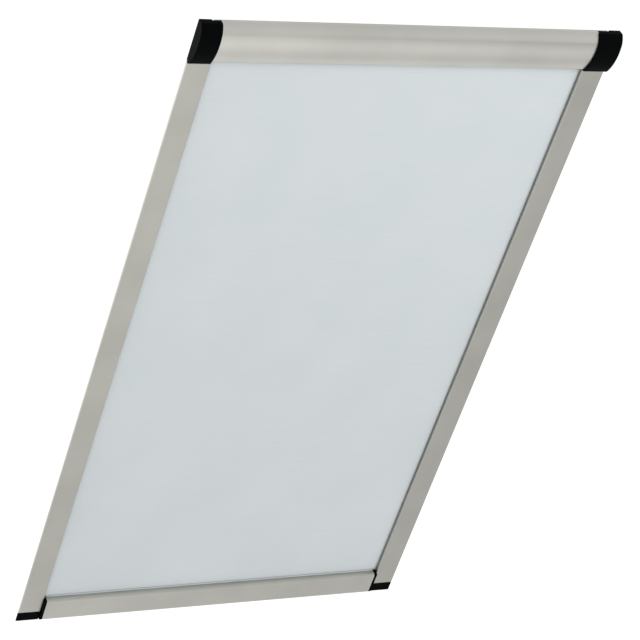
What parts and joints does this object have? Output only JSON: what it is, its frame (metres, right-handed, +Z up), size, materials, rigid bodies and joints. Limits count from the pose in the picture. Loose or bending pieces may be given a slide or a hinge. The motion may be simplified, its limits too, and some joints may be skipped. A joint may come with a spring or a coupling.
{
  "type": "motorised roof-window blind",
  "caption": "Motorised blind for a roof window: driven roller in a curved cassette, side channels that lap the sash, taut fabric and a cord-drawn bottom bar, shown closed.",
  "frame": {"origin": "centre of the cassette's flat rear face, where the blind is fixed to the window sash", "axes": "+Z up the window slope along the side channels, +X to the right as seen from the room, +Y towards the glass; the room side faces -Y"},
  "size_m": [0.66, 0.0427, 1.115],
  "materials": {
    "anodised": "warm silver satin anodised",
    "raw_aluminium": "mill finish",
    "black_plastic": "satin moulded",
    "grey_plastic": "satin moulded",
    "white_plastic": "satin moulded",
    "fabric": "plain fine weave",
    "cord": "braided",
    "brush": "short pile",
    "steel": "plain",
    "zinc_plate": "zinc plated",
    "brass": "machined",
    "board": "lacquered board",
    "battery": "shrink sleeve",
    "lead_rubber": "matt"
  },
  "bodies": {
    "frame": {"cassette_cover": "anodised", "cassette_back_profile": "anodised", "cassette_end_cap_left": "black_plastic", "cassette_end_cap_right": "black_plastic", "motor_bracket": "zinc_plate", "idler_bracket": "zinc_plate", "bracket_screw_left_upper": "steel", "bracket_screw_left_lower": "steel", "bracket_screw_right_upper": "steel", "bracket_screw_right_lower": "steel", "side_channel_left": "anodised", "side_channel_right": "anodised", "brush_seal_left": "brush", "brush_seal_right": "brush", "channel_end_cap_left": "black_plastic", "channel_end_cap_right": "black_plastic", "pulley_pin_left": "steel", "pulley_pin_right": "steel", "motor_head": "black_plastic", "motor_housing": "zinc_plate", "battery_pack": "battery", "dc_motor": "steel", "ring_gear": "grey_plastic", "gearbox_end_plate": "grey_plastic", "idler_axle": "steel", "guide_rod": "raw_aluminium", "control_board": "board", "power_socket": "steel", "motor_lead": "lead_rubber", "fabric_sheet": "fabric", "fabric_lead": "fabric", "drive_cord_left": "cord", "drive_cord_right": "cord", "return_cord_left": "cord", "return_cord_right": "cord"},
    "roller": {"roller_tube": "raw_aluminium", "fabric_roll": "fabric", "drive_wheel": "white_plastic", "planet_carrier": "steel", "cord_spool_left": "black_plastic", "cord_spool_right": "black_plastic", "cord_turns_left": "cord", "cord_turns_right": "cord", "idler_bush": "white_plastic", "tension_spring": "steel", "spring_anchor": "black_plastic"},
    "bar": {"bottom_bar": "anodised", "bar_end_cap_left": "black_plastic", "bar_end_cap_right": "black_plastic", "guide_shoe_left": "white_plastic", "guide_shoe_right": "white_plastic", "keder_rod": "white_plastic"},
    "sun": {"sun_gear": "brass"},
    "planet_1": {"planet_gear_1": "steel"},
    "planet_2": {"planet_gear_2": "steel"},
    "planet_3": {"planet_gear_3": "steel"},
    "pulley_left": {"cord_pulley_left": "white_plastic"},
    "pulley_right": {"cord_pulley_right": "white_plastic"},
    "button": {"program_button": "grey_plastic"}
  },
  "joints": [
    {"name": "bar_slide", "type": "slide", "parent": "frame", "child": "bar", "axis": [0, 0, 1], "range_m": [0, 1.004], "deforming": ["fabric_sheet", "return_cord_left", "return_cord_right"]},
    {"name": "roller_spin", "type": "hinge", "parent": "frame", "child": "roller", "pos_m": [0, -0.0195, 0.0015], "axis": [-1, 0, 0], "range_deg": [0, 3780]},
    {"name": "sun_spin", "type": "hinge", "parent": "frame", "child": "sun", "pos_m": [0, -0.0195, 0.0015], "axis": [-1, 0, 0], "range_deg": [0, 15100]},
    {"name": "planet_1_spin", "type": "hinge", "parent": "roller", "child": "planet_1", "pos_m": [0, -0.0147, 0.0015], "axis": [1, 0, 0], "range_deg": [0, 11330]},
    {"name": "planet_2_spin", "type": "hinge", "parent": "roller", "child": "planet_2", "pos_m": [0, -0.0219, 0.00566], "axis": [1, 0, 0], "range_deg": [0, 11330]},
    {"name": "planet_3_spin", "type": "hinge", "parent": "roller", "child": "planet_3", "pos_m": [0, -0.0219, -0.00266], "axis": [1, 0, 0], "range_deg": [0, 11330]},
    {"name": "pulley_left_spin", "type": "hinge", "parent": "frame", "child": "pulley_left", "pos_m": [-0.3009, -0.0105, -1.0625], "axis": [-1, 0, 0], "range_deg": [0, 11560]},
    {"name": "pulley_right_spin", "type": "hinge", "parent": "frame", "child": "pulley_right", "pos_m": [0.3009, -0.0105, -1.0625], "axis": [-1, 0, 0], "range_deg": [0, 11560]},
    {"name": "button_press", "type": "slide", "parent": "frame", "child": "button", "axis": [-1, 0, 0], "range_m": [0, 0.0008], "stiffness_N_per_m": 300, "springref_m": -0.0005}
  ],
  "couplings": [
    {"joint": "roller_spin", "follows": "bar_slide", "rad_per_m": 65.3},
    {"joint": "sun_spin", "follows": "bar_slide", "rad_per_m": 261.2},
    {"joint": "planet_1_spin", "follows": "bar_slide", "rad_per_m": 195.9},
    {"joint": "planet_2_spin", "follows": "bar_slide", "rad_per_m": 195.9},
    {"joint": "planet_3_spin", "follows": "bar_slide", "rad_per_m": 195.9},
    {"joint": "pulley_left_spin", "follows": "bar_slide", "rad_per_m": 200},
    {"joint": "pulley_right_spin", "follows": "bar_slide", "rad_per_m": 200}
  ]
}
